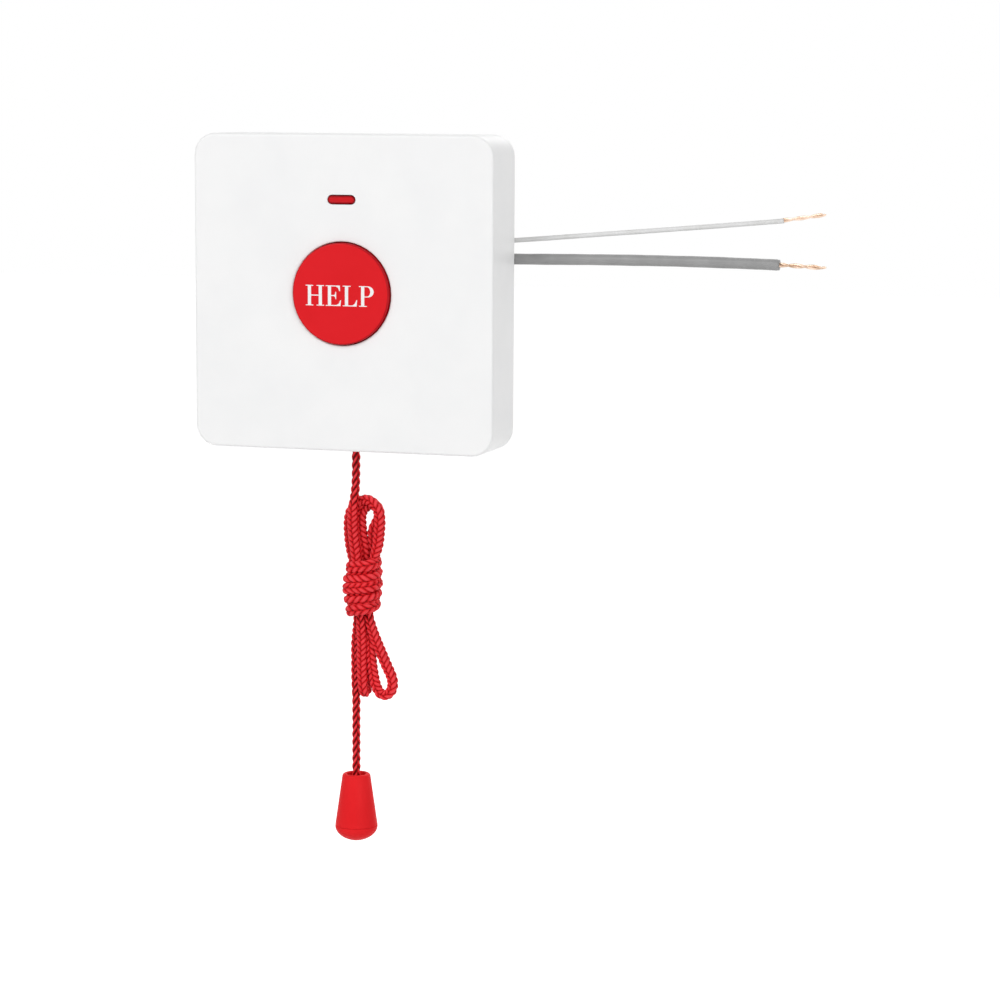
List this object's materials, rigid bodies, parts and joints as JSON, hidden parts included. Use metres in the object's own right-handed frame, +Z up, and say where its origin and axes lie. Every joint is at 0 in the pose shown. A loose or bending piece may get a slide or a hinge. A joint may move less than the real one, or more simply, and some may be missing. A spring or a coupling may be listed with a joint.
{
  "type": "emergency pull cord alarm",
  "caption": "Wall-mounted emergency call station: square white housing with a round red push button, a status light, a red pull cord wound in a hank with a conical knob, and connecting leads.",
  "frame": {"origin": "centre of the housing's back, on the support pad that meets the wall", "axes": "+X to the right seen from the front, +Y into the wall, +Z up"},
  "size_m": [0.1717, 0.024, 0.1974],
  "materials": {
    "cover_plastic": "white moulded ABS, satin",
    "base_plastic": "off-white moulded ABS",
    "nylon": "natural nylon",
    "board": "green solder resist on glass laminate",
    "steel": "zinc plated steel",
    "spring_steel": "bright drawn wire and strip",
    "led_body": "white LED package",
    "red_lens": "clear red acrylic",
    "black_plastic": "black moulded plastic",
    "red_button": "red moulded ABS, satin",
    "red_knob": "red moulded plastic, satin",
    "red_braid": "braided polyester cord",
    "grey_jacket": "grey PVC insulation",
    "white_jacket": "white PVC insulation",
    "copper": "bare twisted copper strands"
  },
  "bodies": {
    "housing": {"front_cover": "cover_plastic", "back_plate": "base_plastic", "cord_bush": "nylon", "circuit_board": "board", "board_screw_1": "steel", "board_screw_2": "steel", "board_screw_3": "steel", "board_screw_4": "steel", "status_led": "led_body", "light_pipe": "red_lens", "led_resistor": "black_plastic", "protection_diode": "black_plastic", "push_switch_body": "black_plastic", "pull_switch_body": "black_plastic", "lever_pin": "steel", "button_spring": "spring_steel", "return_spring": "spring_steel", "grey_lead": "grey_jacket", "grey_lead_copper": "copper", "white_lead": "white_jacket", "white_lead_copper": "copper"},
    "call_button": {"call_button": "red_button"},
    "push_switch_plunger": {"push_switch_plunger": "nylon"},
    "pull_cord": {"cord_slider": "nylon", "cord_top_knot": "red_braid", "cord_upper": "red_braid", "cord_hank": "red_braid", "cord_lower": "red_braid", "cord_end_knot": "red_braid", "pull_knob": "red_knob", "knob_cap": "red_knob"},
    "pull_lever": {"pull_lever": "spring_steel"},
    "pull_switch_button": {"pull_switch_button": "nylon"}
  },
  "joints": [
    {"name": "button_press", "type": "slide", "parent": "housing", "child": "call_button", "axis": [0, 1, 0], "range_m": [0, 0.0012], "stiffness_N_per_m": 1500, "springref_m": -0.001, "deforming": ["button_spring"]},
    {"name": "plunger_press", "type": "slide", "parent": "housing", "child": "push_switch_plunger", "axis": [0, 1, 0], "range_m": [0, 0.0012], "stiffness_N_per_m": 300, "springref_m": -0.0005},
    {"name": "cord_pull", "type": "slide", "parent": "housing", "child": "pull_cord", "axis": [0, 0, -1], "range_m": [0, 0.004], "stiffness_N_per_m": 800, "springref_m": -0.002, "deforming": ["return_spring"]},
    {"name": "lever_turn", "type": "hinge", "parent": "housing", "child": "pull_lever", "pos_m": [0.02, -0.0129, -0.0233], "axis": [0, -1, 0], "range_deg": [0, 18.7]},
    {"name": "pull_switch_press", "type": "slide", "parent": "housing", "child": "pull_switch_button", "axis": [0, 0, -1], "range_m": [0, 0.00145]}
  ],
  "couplings": [
    {"joint": "plunger_press", "follows": "button_press", "ratio": 1},
    {"joint": "lever_turn", "follows": "cord_pull", "rad_per_m": 81.4},
    {"joint": "pull_switch_press", "follows": "cord_pull", "ratio": 0.3625}
  ]
}
